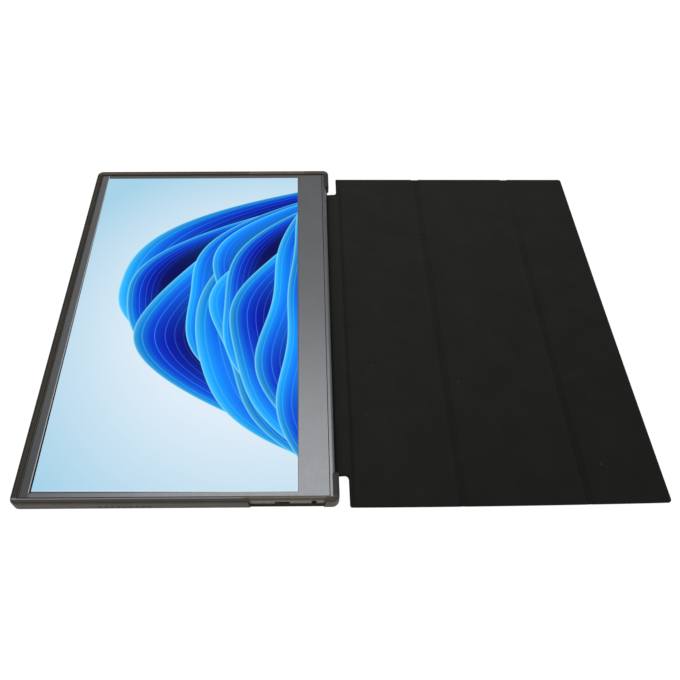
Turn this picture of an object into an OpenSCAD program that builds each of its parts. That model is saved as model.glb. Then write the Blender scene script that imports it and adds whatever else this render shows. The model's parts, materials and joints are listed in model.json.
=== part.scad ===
// Slim portable monitor held in a clip-on tray, with a cover of three folding panels.
// Origin at the middle of the monitor's back; +X points at the cover, +Y along its hinge, +Z out of the
// screen.

/* [Screen] */
// Width of the lit area, across the hinge
active_w = 193.6; // [185:0.1:200]
// Length of the lit area, along the hinge
active_l = 344.2; // [335:0.1:350]
// Dark border of the display cell on three sides
cell_border = 1.9; // [1.2:0.1:2.4]
// Border of the display cell on the side of its driver board
cell_foot = 6; // [4:0.1:8]
// Thickness of the display cell
cell_t = 1; // [0.8:0.05:1.1]
// Thickness of the stack of optical films
films_t = 0.35; // [0.25:0.05:0.4]
// Thickness of the light guide
guide_t = 0.5; // [0.4:0.05:0.55]
// Thickness of the metal plate behind the light guide
chassis_t = 0.25; // [0.2:0.05:0.3]
// Wall of the frame around the light guide
mid_wall = 0.9; // [0.7:0.1:1.1]

/* [Bezel] */
// Bezel from the lit area to its outer edge on the two short sides
bezel_side = 4.05; // [3.6:0.05:5]
// Bezel on the long side away from the hinge
bezel_top = 7.8; // [7:0.1:10]
// Chin, the wide part of the bezel on the hinge side
bezel_chin = 23.5; // [21:0.1:26]
// Thickness of the bezel plate
bezel_t = 0.5; // [0.5:0.05:0.6]
// Outer corner radius of the bezel
bezel_r = 1; // [0.8:0.1:1.6]
// Bevel of the bezel's edges
bezel_bevel = 0.4; // [0.3:0.05:0.4]
// Dark border of the cell left in view on the side away from the hinge
dark_edge = 1; // [0.5:0.1:1.2]
// Gap between the bezel and what surrounds it
bezel_gap = 0.1; // [0.05:0.05:0.2]

/* [Housing] */
// Height of the rear housing
housing_h = 6.8; // [6.8:0.1:7.6]
// Thickness of the housing's floor
housing_floor = 0.7; // [0.6:0.05:0.75]
// Thickness of the housing's side walls
housing_wall = 1.4; // [1.2:0.1:1.6]
// Radius of the housing's upper edge
edge_r = 2.2; // [1.8:0.1:2.4]
// Flat of the housing between its rounded edge and the bezel
edge_land = 0.7; // [0.5:0.1:1]
// Radius of the housing's lower edge
housing_low_r = 1; // [0.6:0.1:1.3]
// Reach of the ledge that the bezel rests on, past the rim
ledge_reach = 1.5; // [1.2:0.1:2]
// Thickness of that ledge
ledge_t = 0.7; // [0.5:0.1:0.8]
// Width of the trim strip along the hinge side
trim_w = 4.2; // [3.8:0.1:5.4]
// Height of the trim strip
trim_h = 3; // [2.6:0.1:3.2]
// Radius of the trim strip's upper edge
trim_r = 2.6; // [2:0.1:2.6]

/* [Tray] */
// Wall of the tray
tray_wall = 2.3; // [1.8:0.1:2.8]
// Floor of the tray
tray_floor = 1; // [0.8:0.1:1.4]
// Clearance between the tray and the housing
tray_gap = 0.2; // [0.1:0.05:0.3]
// Thickness of the lip that clips over the housing's edge
lip_t = 1.1; // [0.9:0.1:1.3]
// Reach of the lip inwards from the tray's outer face
lip_reach = 4.4; // [4.2:0.1:5]
// Corner radius of the tray
tray_r = 5.6; // [5.4:0.1:8]
// Radius of the tray's upper outer edge
tray_top_r = 0.9; // [0.6:0.1:0.9]
// Distance of the groove in the tray's rim from its outer face
groove_in = 0.95; // [0.9:0.05:1.2]
// Width of that groove
groove_w = 0.8; // [0.5:0.05:1]
// Depth of that groove
groove_d = 0.5; // [0.3:0.05:0.6]
// Radius of the tray's lower outer edge
tray_low_r = 1.2; // [0.6:0.1:1.5]
// Length of each corner that wraps round onto the hinge side
return_l = 24.2; // [18:0.1:24.2]
// Radius of the wrapped corners' upper ends
return_r = 2.4; // [1:0.1:3]
// Thickness of the soft skin on the tray's back
skin_t = 0.6; // [0.4:0.05:0.8]
// Inset of the back skin from the tray's edge
skin_inset = 1.3; // [1.2:0.1:4]

/* [Ports and keys] */
// Start of the near port cut-out, from the hinge side
near_cut_from = 11.5; // [10:0.5:14]
// End of the near port cut-out, from the hinge side
near_cut_to = 64.5; // [60:0.5:70]
// Start of the far port cut-out, from the hinge side
far_cut_from = 25; // [22:0.5:27]
// End of the far port cut-out, from the hinge side
far_cut_to = 81; // [80:0.5:90]
// How much wider the near cut-out gets at each end up to the rim
cut_ramp = 1.6; // [0.5:0.1:3]
// How far the tray's floor stands out under the ports
cut_step = 0.3; // [0.1:0.1:0.6]
// Height of the strip of rim that bridges the far cut-out
bridge_h = 2; // [1.6:0.1:2.4]
// Middle height of the ports above the housing's inner floor
port_h = 1.9; // [1.7:0.05:1.9]
// Mini HDMI port, from the hinge side
hdmi_at = 41.5; // [36:0.5:48]
// Audio jack, from the hinge side
jack_at = 18.5; // [17:0.1:20]
// Radius of the audio jack's bore
jack_r = 1.8; // [1.76:0.02:1.85]
// Depth of the audio jack's bore
jack_depth = 12; // [11:0.1:13]
// First USB-C port, from the hinge side
usb_at = 59.5; // [58:0.5:62]
// Distance between the two USB-C ports
usb_pitch = 14; // [12:0.5:14]
// Menu rocker, from the hinge side
rocker_at = 43; // [42:0.5:44]
// Length of the menu rocker
rocker_l = 13; // [11:0.1:14]
// Power key, from the hinge side
power_at = 31; // [30:0.1:31.5]
// Length of the power key
power_l = 7; // [5:0.1:7.5]
// Height of both keys
key_h = 2.2; // [1.8:0.1:2.3]
// How far the keys stand out of the housing
key_proud = 0.35; // [0.3:0.05:0.6]
// Clearance around the keys
key_gap = 0.15; // [0.1:0.01:0.2]
// Travel of the power key
key_travel = 0.3; // [0.2:0.05:0.35]
// Radius of the rocker's pivot pin
pivot_r = 0.6; // [0.5:0.05:0.6]
// Clearance of that pin in its ears
pivot_gap = 0.04; // [0.02:0.01:0.08]

/* [Speakers] */
// Middle of the speakers, from the hinge side
speaker_at = 154.8; // [140:0.5:170]
// Length of a speaker
speaker_l = 44; // [36:0.5:50]
// Width of a speaker
speaker_w = 14; // [10:0.5:18]
// Number of sound slots in each side
slot_count = 9; // [5:1:11]
// Distance between sound slots
slot_pitch = 4.45; // [4:0.05:4.6]
// Length of a sound slot
slot_l = 3; // [2:0.1:3.2]
// Height of a sound slot
slot_h = 1.1; // [0.8:0.1:1.4]
// Height of the sound slots above the housing's inner floor
slot_at = 1.9; // [1.5:0.1:2.3]

/* [Boards] */
// Thickness of the circuit boards
pcb_t = 0.8; // [0.6:0.1:0.9]
// Length of the main board, across the hinge
main_w = 60; // [57:0.5:64]
// Depth of the main board, along the hinge
main_l = 42; // [30:0.5:60]
// Length of the USB and key board, across the hinge
usb_board_w = 64; // [62:0.5:70]
// Depth of the USB and key board, along the hinge
usb_board_l = 15; // [12:0.5:24]
// Length of the display's driver board, along the hinge
panel_board_l = 150; // [100:1:200]
// Width of the display's driver board
panel_board_w = 10; // [8:0.5:11]
// Width of the flat cable between the boards
link_w = 6; // [4:0.5:7]
// Thickness of the flat cables
ribbon_t = 0.2; // [0.15:0.05:0.25]
// Width of a magnet
magnet_w = 3.6; // [3:0.1:4.2]
// Length of a magnet
magnet_l = 12; // [8:0.5:16]
// Thickness of the housing's magnets
magnet_t = 2; // [1:0.1:2.6]

/* [Cover] */
// Length of the cover, along the hinge
cover_l = 355.6; // [340:0.1:362]
// Offset of the cover along the hinge, as assembled
cover_shift = -2.5; // [-3:0.1:0]
// Offset of the spine strip along the hinge
spine_shift = -2; // [-2.2:0.1:-1]
// Width of the first panel, from its folding line to the second panel's
panel_1_w = 78.95; // [70:0.05:95]
// Width of the second panel, between its folding lines
panel_2_w = 92.3; // [80:0.05:100]
// Width of the third panel, from its folding line to the cover's free edge
panel_3_w = 58.9; // [45:0.05:70]
// Thickness of the outer skin
cover_skin_t = 0.7; // [0.5:0.05:0.8]
// Thickness of the stiffening boards
board_t = 0.8; // [0.6:0.05:1]
// Thickness of the soft lining
lining_t = 0.7; // [0.5:0.05:0.8]
// Width of the turned edge that holds a board
hem_w = 1.5; // [1:0.1:2]
// Width of skin left bare around the lining
lining_inset = 0.8; // [0.4:0.1:1.2]
// Half of the soft groove at a folding line
groove_half = 3.2; // [3:0.1:4]
// Thickness of the web in the groove
web_t = 0.4; // [0.3:0.05:0.4]
// Gap between the halves of a web
web_gap = 0.94; // [0.9:0.02:0.98]
// Corner radius of the cover
cover_r = 2.6; // [1:0.1:5]
// Corner radius of the cover's ends beside the spine strip
ear_r = 1.2; // [0.5:0.1:2]
// Length of the spine strip, along the hinge
spine_l = 310.5; // [300:0.5:310.5]
// How far the cover's ends reach past the first folding line, towards the tray
ear_reach = 3.35; // [1:0.05:3.4]
// Rise of the spine strip's arch
spine_rise = 1; // [0.6:0.1:1.1]
// Clearance of the closed cover over the tray's lip
close_gap = 0.3; // [0.2:0.05:0.5]
// Distance of the tray's folding line from the tray's outer face
hinge_out = 0.4; // [0.4:0.05:0.8]
// Depth of the tray's folding line below the back
hinge_drop = 0.15; // [0.15:0.01:0.2]
// Height of the spine's second folding line
fold_h = 1.6; // [1.4:0.05:1.8]
// Width of a magnet in the cover
cover_magnet_w = 5; // [4:0.1:6]
// Length of a magnet in the cover
cover_magnet_l = 20; // [12:0.5:30]

/* [Hidden] */
$fn = 48;
slit = 0.05;
past = 2;

// Plan sizes, from the screen outwards
bezel_w = bezel_top + active_w + bezel_chin;
bezel_l = active_l + 2 * bezel_side;
rim_w = edge_r + edge_land;
housing_w = rim_w + bezel_w + trim_w;
housing_l = bezel_l + 2 * rim_w;
tray_side = tray_wall + tray_gap;
tray_w = housing_w + 2 * tray_side;
tray_l = housing_l + 2 * tray_side;
housing_r = tray_r - tray_side;

// Places across the hinge
chin_x = tray_w / 2;
housing_x = chin_x - tray_side;
seam_x = housing_x - trim_w;
active_x1 = seam_x - bezel_chin;
active_x0 = active_x1 - active_w;
bezel_x0 = active_x0 - bezel_top;
cell_x0 = active_x0 - cell_border;
cell_x1 = active_x1 + cell_foot;
cell_l = active_l + 2 * cell_border;
open_w = active_w + dark_edge;

// Places along the hinge
side_y = housing_l / 2;
inner_y = side_y - housing_wall;
return_y = tray_l / 2 - return_l;

// Heights
z_tray = skin_t;
z_seat = z_tray + tray_floor;
z_inner = z_seat + housing_floor;
z_face = z_seat + housing_h;
tray_h = z_face + lip_t;
z_glass = z_face - bezel_t;
z_cell = z_glass - cell_t;
z_films = z_cell - films_t;
z_guide = z_films - guide_t;
z_chassis = z_guide - chassis_t;
z_trim = z_face - trim_h;
z_port = z_inner + port_h;
z_slot = z_inner + slot_at;
z_pcb = z_port - pcb_t / 2;

// Connectors: outside of the metal shells, their wall and depth
hdmi_w = 11.2;
hdmi_h = 2.9;
hdmi_bevel = 0.9;
usb_w = 8.94;
usb_h = 3.16;
shell_t = 0.25;
shell_depth = 7.4;
shell_back = 1;
port_gap = 0.15;
port_sink = 0.3;
tongue_t = 0.7;
tongue_side = 1.2;
tongue_sink = 0.8;
jack_w = 6.4;
jack_h = 4.8;
jack_back = 1;
jack_body = jack_depth + jack_back;
jack_nose_in = 1;
jack_nose_l = housing_wall + jack_nose_in;
jack_nose_r = 2.3;
jack_z = z_inner + jack_h / 2;

// Keys, their switches and their carrier
key_z = z_port;
key_face_y = side_y + key_proud;
pivot_in = 0.75;
pivot_y = inner_y - pivot_in;
key_back = 1;
key_back_y = pivot_y - key_back;
stem_w = 2;
rocker_r = 0.4;
rocker_tilt = 3;
plunger_at = 4.5;
plunger_y = key_back_y - key_travel - slit;
plunger_l = 0.5;
plunger_r = 0.4;
switch_w = 3.4;
switch_l = 1.8;
switch_h = 1;
flange_t = 0.6;
flange_side = 0.8;
ear_t = 0.5;
ear_w = 3;
board_y = plunger_y - plunger_l;

// Boards
main_inset = 3.6;
main_x1 = seam_x - main_inset;
main_y0 = inner_y - slit;
boss_r = 2;
screw_r = 0.8;
screw_head_r = 1.6;
screw_head_t = 0.5;
screw_gap = 0.05;
boss_floor = 0.3;
boss_hole_h = z_pcb - z_inner - boss_floor;
boss_in = 4;
boss_side = 2.4;
main_bosses = [[-boss_side, -main_l / 4], [-main_w + boss_in, -boss_in], [-boss_side, -main_l + boss_in],
    [-main_w + boss_in, -main_l + boss_in]];
usb_bosses = [[-boss_in, -usb_board_l + boss_in], [-usb_board_w + boss_in, -usb_board_l + boss_in]];
usb_x1 = chin_x - far_cut_from + boss_in;
panel_board_gap = 1.2;
panel_board_x = cell_x1 + panel_board_gap;
chips = [[-14, -26, 9, 9], [-32, -26, 12, 12], [-50, -22, 7, 5], [-24, -36, 5, 4], [-46, -34, 6, 6]];
chip_h = 0.9;
rib_t = 1.2;
rib_count = 5;
post_r = 2.6;
post_count = 5;
post_clear = 14;
rib_clear = 4;
magnet_count = 4;
magnet_inset = 40;
magnet_gap = 0.6;
cover_magnet_gap = 1;
flex_count = 4;
flex_w = 22;
flex_out = 1;
flex_lap = 3;
cable_lap = 5;
plug_l = 3;
lead_w = 1.6;
lead_t = 0.6;

// Cover, across the hinge
cover_t = cover_skin_t + board_t + lining_t;
hinge_x = chin_x + hinge_out;
spine_w = tray_h + close_gap + hinge_drop + cover_t - fold_h;
fold_b = hinge_x + spine_w;
fold_c = fold_b + panel_1_w;
fold_d = fold_c + panel_2_w;
cover_x1 = fold_d + panel_3_w;
strip_t = cover_skin_t + lining_t;
strip_gap = 0.95;
web_half = web_gap / 2;

// ---- shared shapes ----

// Rectangle with four round corners, about the origin
module rounded_rect(w, l, r) {
    square([w - 2 * r, l], center = true);
    square([w, l - 2 * r], center = true);
    for (x = [-1, 1], y = [-1, 1])
        translate([x * (w / 2 - r), y * (l / 2 - r)]) circle(r);
}

module rounded_plate(w, l, h, r) {
    linear_extrude(h) rounded_rect(w, l, r);
}

// What is cut off a square corner at the origin to round it, for a body in the lower left quadrant
module corner_waste(r) {
    translate([-r, -r]) difference() {
        square(r + past);
        circle(r);
    }
}

// Profile of a wall: outer face at x = 0, the wall towards -x, standing on y = 0
module wall_profile(w, h, top_r, low_r) {
    difference() {
        translate([-w, 0]) square([w, h]);
        translate([0, h]) corner_waste(top_r);
        mirror([0, 1]) corner_waste(low_r);
    }
}

// Sweeps a wall profile round a rectangle with round corners
module rim(w, l, r) {
    for (turn = [0, 180]) rotate(turn) {
        translate([w / 2, l / 2 - r, 0]) rotate([90, 0, 0]) linear_extrude(l - 2 * r) children();
        rotate(90) translate([l / 2, w / 2 - r, 0]) rotate([90, 0, 0])
            linear_extrude(w - 2 * r) children();
        translate([w / 2 - r, l / 2 - r, 0]) rotate_extrude(angle = 90) translate([r, 0]) children();
        translate([-w / 2 + r, l / 2 - r, 0]) rotate(90)
            rotate_extrude(angle = 90) translate([r, 0]) children();
    }
}

// Box from its lowest corner, measured from the hinge side, with y outwards from a short side
module block(x0, x1, y0, y1, z0, z1) {
    translate([x0, y0, z0]) cube([x1 - x0, y1 - y0, z1 - z0]);
}

// Turns what is drawn for the far short side to the near one
module near_side() {
    mirror([0, 1, 0]) children();
}

// Extrudes a flat shape, drawn in x and height, inwards from a plane of the far short side
module from_side(y, depth) {
    translate([0, y, 0]) rotate([90, 0, 0]) linear_extrude(depth) children();
}

module hdmi_shape(grow) {
    w = hdmi_w / 2 + grow;
    h = hdmi_h / 2 + grow;
    b = hdmi_bevel + grow / 2;
    polygon([[-w, h], [w, h], [w, -h + b], [w - b, -h], [-w + b, -h], [-w, -h + b]]);
}

module usb_shape(grow) {
    rounded_rect(usb_w + 2 * grow, usb_h + 2 * grow, usb_h / 2 + grow - slit);
}

// A row of sound slots, about the middle of a speaker
module slots() {
    first = -(slot_count - 1) / 2;
    for (i = [0 : slot_count - 1])
        translate([(first + i) * slot_pitch, 0]) rounded_rect(slot_l, slot_h, slot_h / 2 - slit);
}

// Sound slots through everything between the inside and the open air of one short side
module slot_cutters() {
    from_side(tray_l / 2 + past, tray_l / 2 + past - inner_y + past)
        translate([chin_x - speaker_at, z_slot]) slots();
}

// ---- tray ----

module tray_profile() {
    difference() {
        translate([0, z_tray]) wall_profile(lip_reach, tray_h - z_tray, tray_top_r, tray_low_r);
        translate([-lip_reach - past, z_seat])
            square([lip_reach + past - tray_wall, z_face - edge_r - z_seat]);
        translate([-tray_side - edge_r, z_face - edge_r]) circle(edge_r + tray_gap);
        translate([-lip_reach - past, z_seat])
            square([lip_reach + past - tray_side - edge_r, z_face + tray_gap - z_seat]);
        translate([-groove_in - groove_w, tray_h - groove_d]) square([groove_w, groove_d + past]);
    }
}

// Section of a cut-out in the far short side: shallow up to the tray's floor, through the lip above it
module cut_section(z_top) {
    y_wall = tray_l / 2 - tray_side + cut_step;
    y_lip = tray_l / 2 - lip_reach - slit;
    y_out = tray_l / 2 + past;
    polygon([
        [y_wall, -past], [y_out, -past], [y_out, z_top], [y_lip, z_top], [y_lip, z_seat], [y_wall, z_seat]
    ]);
}

// Cuts into the far short side up to a height; each end leans out by ramp over the tray's height
module side_cut(from, to, z_top, ramp) {
    lean = ramp / tray_h;
    z_over = z_top + past;
    intersection() {
        translate([chin_x - to - ramp - past, 0, 0]) rotate([90, 0, 90])
            linear_extrude(to - from + 2 * (ramp + past)) cut_section(z_top);
        from_side(tray_l / 2 + 2 * past, lip_reach + 3 * past) polygon([
            [chin_x - to + lean * 2 * past, -2 * past], [chin_x - from - lean * 2 * past, -2 * past],
            [chin_x - from + lean * z_over, z_over], [chin_x - to - lean * z_over, z_over]
        ]);
    }
}

// Cut-out that is open at the rim
module open_cutout(from, to) {
    side_cut(from, to, tray_h + past, cut_ramp);
}

// Cut-out that the rim bridges
module bridged_cutout(from, to) {
    side_cut(from, to, tray_h - bridge_h, 0);
}

// Fills the rim's groove over the bridged cut-out
module groove_stop(from, to) {
    y = tray_l / 2 - groove_in;
    block(chin_x - to, chin_x - from, y - groove_w - slit, y + slit, tray_h - groove_d - slit, tray_h);
}

// Opening between the two wrapped corners, seen along the hinge side
module return_opening() {
    difference() {
        translate([-return_y - return_r, 0]) square([2 * (return_y + return_r), tray_h + past]);
        for (side = [-1, 1]) translate([side * (return_y + return_r), 0]) {
            translate([-return_r, 0]) square([2 * return_r, tray_h - return_r]);
            translate([0, tray_h - return_r]) circle(return_r);
        }
    }
}

module tray_shell() color("#4b4740") difference() {
    union() {
        translate([0, 0, z_tray])
            rounded_plate(tray_w - tray_wall, tray_l - tray_wall, tray_floor, tray_r - tray_wall / 2);
        rim(tray_w, tray_l, tray_r) tray_profile();
        groove_stop(far_cut_from, far_cut_to);
    }
    translate([housing_x, 0, 0]) rotate([90, 0, 90]) linear_extrude(tray_side + past) return_opening();
    translate([chin_x - lip_reach - slit, 0, z_seat]) rotate([90, 0, 90])
        linear_extrude(lip_reach + past) translate([0, -z_seat]) return_opening();
    near_side() open_cutout(near_cut_from, near_cut_to);
    bridged_cutout(far_cut_from, far_cut_to);
    slot_cutters();
    near_side() slot_cutters();
}

module back_skin() color("#2a2826") {
    rounded_plate(tray_w - 2 * skin_inset, tray_l - 2 * skin_inset, skin_t, tray_r - skin_inset / 2);
    block(chin_x - skin_inset - tray_r, hinge_x, spine_shift - spine_l / 2, spine_shift + spine_l / 2,
        0, skin_t);
}

// ---- housing ----

module housing_profile() {
    difference() {
        wall_profile(rim_w, housing_h, edge_r, housing_low_r);
        translate([-rim_w - past, housing_floor])
            square([rim_w + past - housing_wall, z_glass - ledge_t - z_inner]);
    }
}

// Ledge all round, which the bezel rests on
module ledge() {
    translate([0, 0, z_glass - ledge_t]) linear_extrude(ledge_t) difference() {
        square([housing_w - 2 * housing_wall + 2 * slit, housing_l - 2 * housing_wall + 2 * slit],
            center = true);
        square([housing_w - 2 * rim_w - 2 * ledge_reach, housing_l - 2 * rim_w - 2 * ledge_reach],
            center = true);
    }
}

// Openings in the far short side
module far_openings() {
    from_side(side_y + past, housing_wall + 2 * past) {
        for (i = [0, 1]) translate([chin_x - usb_at - i * usb_pitch, z_port]) usb_shape(port_gap);
        translate([chin_x - rocker_at, key_z])
            square([rocker_l + 4 * key_gap, key_h + 2 * key_gap], center = true);
        translate([chin_x - power_at, key_z])
            rounded_rect(power_l + 2 * key_gap, key_h + 2 * key_gap, key_h / 2);
    }
}

// Openings in the near short side, drawn for the far side
module near_openings() {
    from_side(side_y + past, housing_wall + 2 * past)
        translate([chin_x - hdmi_at, z_port]) hdmi_shape(port_gap);
    translate([chin_x - jack_at, side_y + past, jack_z]) rotate([90, 0, 0])
        cylinder(r = jack_nose_r + port_gap, h = housing_wall + 2 * past);
}

// Posts on the floor that boards are screwed to, at offsets from a board's corner
module bosses(x, y, places) {
    for (p = places) translate([x + p[0], y + p[1], z_inner - slit]) difference() {
        cylinder(r = boss_r, h = z_pcb - z_inner + slit);
        translate([0, 0, z_pcb - z_inner + slit - boss_hole_h])
            cylinder(r = screw_r + screw_gap, h = boss_hole_h + past);
    }
}

// Ribs under the display and a row of posts under the chin
module supports() {
    span = cell_x1 - cell_x0;
    for (i = [1 : rib_count]) {
        x = cell_x0 + span * i / (rib_count + 2);
        block(x, x + rib_t, -inner_y + speaker_w + rib_clear, inner_y - speaker_w - rib_clear,
            z_inner - slit, z_chassis);
    }
    for (i = [0 : post_count - 1])
        translate([seam_x - post_r, (i / (post_count - 1) - 0.5) * 2 * (inner_y - main_l - post_clear),
            z_inner - slit])
            cylinder(r = post_r, h = z_glass - z_inner + slit);
}

module rear_housing() color("#6b6152") difference() {
    union() {
        translate([0, 0, z_seat]) rim(housing_w, housing_l, housing_r) housing_profile();
        translate([0, 0, z_seat]) rounded_plate(housing_w - 2 * housing_wall + 2 * slit,
            housing_l - 2 * housing_wall + 2 * slit, housing_floor, housing_r);
        ledge();
        supports();
        near_side() bosses(main_x1, main_y0, main_bosses);
        bosses(usb_x1, board_y, usb_bosses);
    }
    block(seam_x - rim_w, housing_x + past, -bezel_l / 2, bezel_l / 2, z_glass - ledge_t, z_face + past);
    block(seam_x, housing_x + past, -bezel_l / 2, bezel_l / 2, z_trim, z_face + past);
    far_openings();
    near_side() near_openings();
    slot_cutters();
    near_side() slot_cutters();
}

module edge_trim() color("#8a8c90")
    translate([housing_x, bezel_l / 2 - bezel_gap, z_trim]) rotate([90, 0, 0])
        linear_extrude(bezel_l - 2 * bezel_gap)
            wall_profile(trim_w - bezel_gap, trim_h, trim_r, slit);

// Profile of the bezel's outer edge
module bezel_edge() {
    w = bezel_r - slit;
    polygon([[0, 0], [0, bezel_t - bezel_bevel], [-bezel_bevel, bezel_t], [-w, bezel_t], [-w, 0]]);
}

// A long wedge that bevels one edge of the screen opening; the edge runs along +y through the origin
module bevel_cutter(l) {
    translate([0, l / 2 + bezel_bevel, 0]) rotate([90, 0, 0]) linear_extrude(l + 2 * bezel_bevel)
        polygon([[-slit, -bezel_bevel - slit], [bezel_bevel + slit, slit], [-slit, slit]]);
}

module front_bezel() color("#6f6e74") {
    w = bezel_w - 2 * bezel_gap;
    l = bezel_l - 2 * bezel_gap;
    translate([(bezel_x0 + seam_x) / 2, 0, 0]) difference() {
        translate([0, 0, z_glass]) {
            rim(w, l, bezel_r) bezel_edge();
            linear_extrude(bezel_t)
                square([w - 2 * bezel_r + 4 * slit, l - 2 * bezel_r + 4 * slit], center = true);
        }
        translate([(bezel_top - dark_edge - bezel_chin) / 2, 0, z_glass]) {
            translate([0, 0, bezel_t / 2]) cube([open_w, active_l, bezel_t + past], center = true);
            for (side = [0, 180]) rotate(side) translate([open_w / 2, 0, bezel_t])
                bevel_cutter(active_l);
            for (side = [90, 270]) rotate(side) translate([active_l / 2, 0, bezel_t])
                bevel_cutter(open_w);
        }
    }
}

// ---- display ----

module lcd_cell() color("#9cc8e4") block(cell_x0, cell_x1, -cell_l / 2, cell_l / 2, z_cell, z_glass);

// Plan of the frame's inside, where films and guide lie
module inside_frame(z0, z1, shrink) {
    edge = mid_wall + shrink;
    block(cell_x0 + edge, cell_x1 - edge, -cell_l / 2 + edge, cell_l / 2 - edge, z0, z1);
}

module optical_films() color("#e8eef0") inside_frame(z_films, z_cell, slit);

module light_guide() color("#cfe4ea") difference() {
    inside_frame(z_guide, z_films, slit);
    block(cell_x1 - mid_wall - cell_foot / 2, cell_x1, -cell_l / 2, cell_l / 2, z_guide - past, z_films);
}

module led_bar() color("#e9e2c8")
    block(cell_x1 - mid_wall - cell_foot / 2 + slit, cell_x1 - mid_wall - slit, -cell_l / 2 + 2 * mid_wall,
        cell_l / 2 - 2 * mid_wall, z_guide, z_films);

module mid_frame() color("#26262a") difference() {
    block(cell_x0, cell_x1, -cell_l / 2, cell_l / 2, z_guide, z_cell);
    inside_frame(z_guide - past, z_cell + past, 0);
}

module panel_chassis() color("#a9adb0")
    block(cell_x0, cell_x1, -cell_l / 2, cell_l / 2, z_chassis, z_guide);

// ---- boards ----

// Boards hang on screws through their bosses' places
module board_holes(x, y, places) {
    for (p = places) translate([x + p[0], y + p[1], z_pcb - past])
        cylinder(r = screw_r + screw_gap, h = pcb_t + 2 * past);
}

module main_board() color("#1d5a38") near_side() difference() {
    block(main_x1 - main_w, main_x1, main_y0 - main_l, main_y0, z_pcb, z_pcb + pcb_t);
    block(chin_x - hdmi_at - hdmi_w / 2 - port_gap, chin_x - hdmi_at + hdmi_w / 2 + port_gap,
        side_y - port_sink - shell_depth - port_gap, main_y0 + past, z_pcb - past, z_face);
    block(chin_x - jack_at - jack_w / 2 - port_gap, chin_x - jack_at + jack_w / 2 + port_gap,
        side_y - jack_body - port_gap, main_y0 + past, z_pcb - past, z_face);
    board_holes(main_x1, main_y0, main_bosses);
}

module board_chips() color("#2b2b2e") near_side() for (c = chips)
    translate([main_x1 + c[0] - c[2] / 2, main_y0 + c[1] - c[3] / 2, z_pcb + pcb_t])
        cube([c[2], c[3], chip_h]);

module usb_board() color("#1d5a38") difference() {
    block(usb_x1 - usb_board_w, usb_x1, board_y - usb_board_l, board_y, z_pcb, z_pcb + pcb_t);
    for (i = [0, 1]) translate([chin_x - usb_at - i * usb_pitch, 0, 0])
        block(-usb_w / 2 - port_gap, usb_w / 2 + port_gap, side_y - port_sink - shell_depth - port_gap,
            side_y, z_pcb - past, z_face);
    board_holes(usb_x1, board_y, usb_bosses);
}

module screws(x, y, places) {
    for (p = places) translate([x + p[0], y + p[1], 0]) {
        translate([0, 0, z_pcb - boss_hole_h + slit]) cylinder(r = screw_r, h = boss_hole_h + pcb_t);
        translate([0, 0, z_pcb + pcb_t]) cylinder(r = screw_head_r, h = screw_head_t);
    }
}

module board_screws() color("#b9bcc0") {
    near_side() screws(main_x1, main_y0, main_bosses);
    screws(usb_x1, board_y, usb_bosses);
}

module panel_board() color("#1d5a38")
    block(panel_board_x, panel_board_x + panel_board_w, -panel_board_l / 2, panel_board_l / 2,
        z_pcb, z_pcb + pcb_t);

// Folded films that join the display cell to its driver board
module panel_flex() color("#8a5a24") for (i = [0 : flex_count - 1])
    translate([0, (i - (flex_count - 1) / 2) * panel_board_l / flex_count, 0]) {
        y = flex_w / 2;
        x = cell_x1 + flex_out;
        block(cell_x1, x + ribbon_t, -y, y, z_glass - ribbon_t - slit, z_glass - slit);
        block(x, x + ribbon_t, -y, y, z_pcb + pcb_t, z_glass - slit);
        block(x, panel_board_x + flex_lap, -y, y, z_pcb + pcb_t, z_pcb + pcb_t + ribbon_t);
    }

// Flat cable along the chin's floor, with a plug up to each board
module board_link_cable() color("#d8d4c4") {
    x = cell_x1 - link_w;
    y0 = -main_y0 + main_l;
    y1 = board_y - usb_board_l;
    reach = 2 * plug_l;
    block(x - link_w / 2, x + link_w / 2, y0 - reach, y1 + reach, z_inner, z_inner + ribbon_t);
    for (y = [y0 - reach, y1 + plug_l])
        block(x - link_w / 2, x + link_w / 2, y, y + plug_l, z_inner, z_pcb);
}

// Flat cable from the main board up to the display's driver board
module display_cable() color("#c9b48a") {
    x = panel_board_x + panel_board_w / 2;
    y0 = -main_y0 + main_l;
    block(x - link_w / 2, x + link_w / 2, y0 - cable_lap, -panel_board_l / 2 + cable_lap, z_pcb + pcb_t,
        z_pcb + pcb_t + ribbon_t);
}

// ---- ports ----

module usb_c_ports() color("#c9ccd0") for (i = [0, 1])
    translate([chin_x - usb_at - i * usb_pitch, 0, z_port]) difference() {
        from_side(side_y - port_sink, shell_depth) usb_shape(0);
        from_side(side_y, shell_depth + port_sink - shell_back) usb_shape(-shell_t);
    }

module mini_hdmi_port() color("#c9ccd0") near_side() translate([chin_x - hdmi_at, 0, z_port])
    difference() {
        from_side(side_y - port_sink, shell_depth) hdmi_shape(0);
        from_side(side_y, shell_depth + port_sink - shell_back) hdmi_shape(-shell_t);
    }

// The plastic tongues inside the ports
module port_inserts() color("#202022") {
    reach = shell_depth - shell_back - tongue_sink;
    y = side_y - port_sink - tongue_sink;
    for (i = [0, 1]) translate([chin_x - usb_at - i * usb_pitch, 0, z_port])
        from_side(y, reach) square([usb_w - 2 * tongue_side, tongue_t], center = true);
    near_side() translate([chin_x - hdmi_at, 0, z_port])
        from_side(y, reach) square([hdmi_w - 2 * tongue_side, tongue_t], center = true);
}

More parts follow.
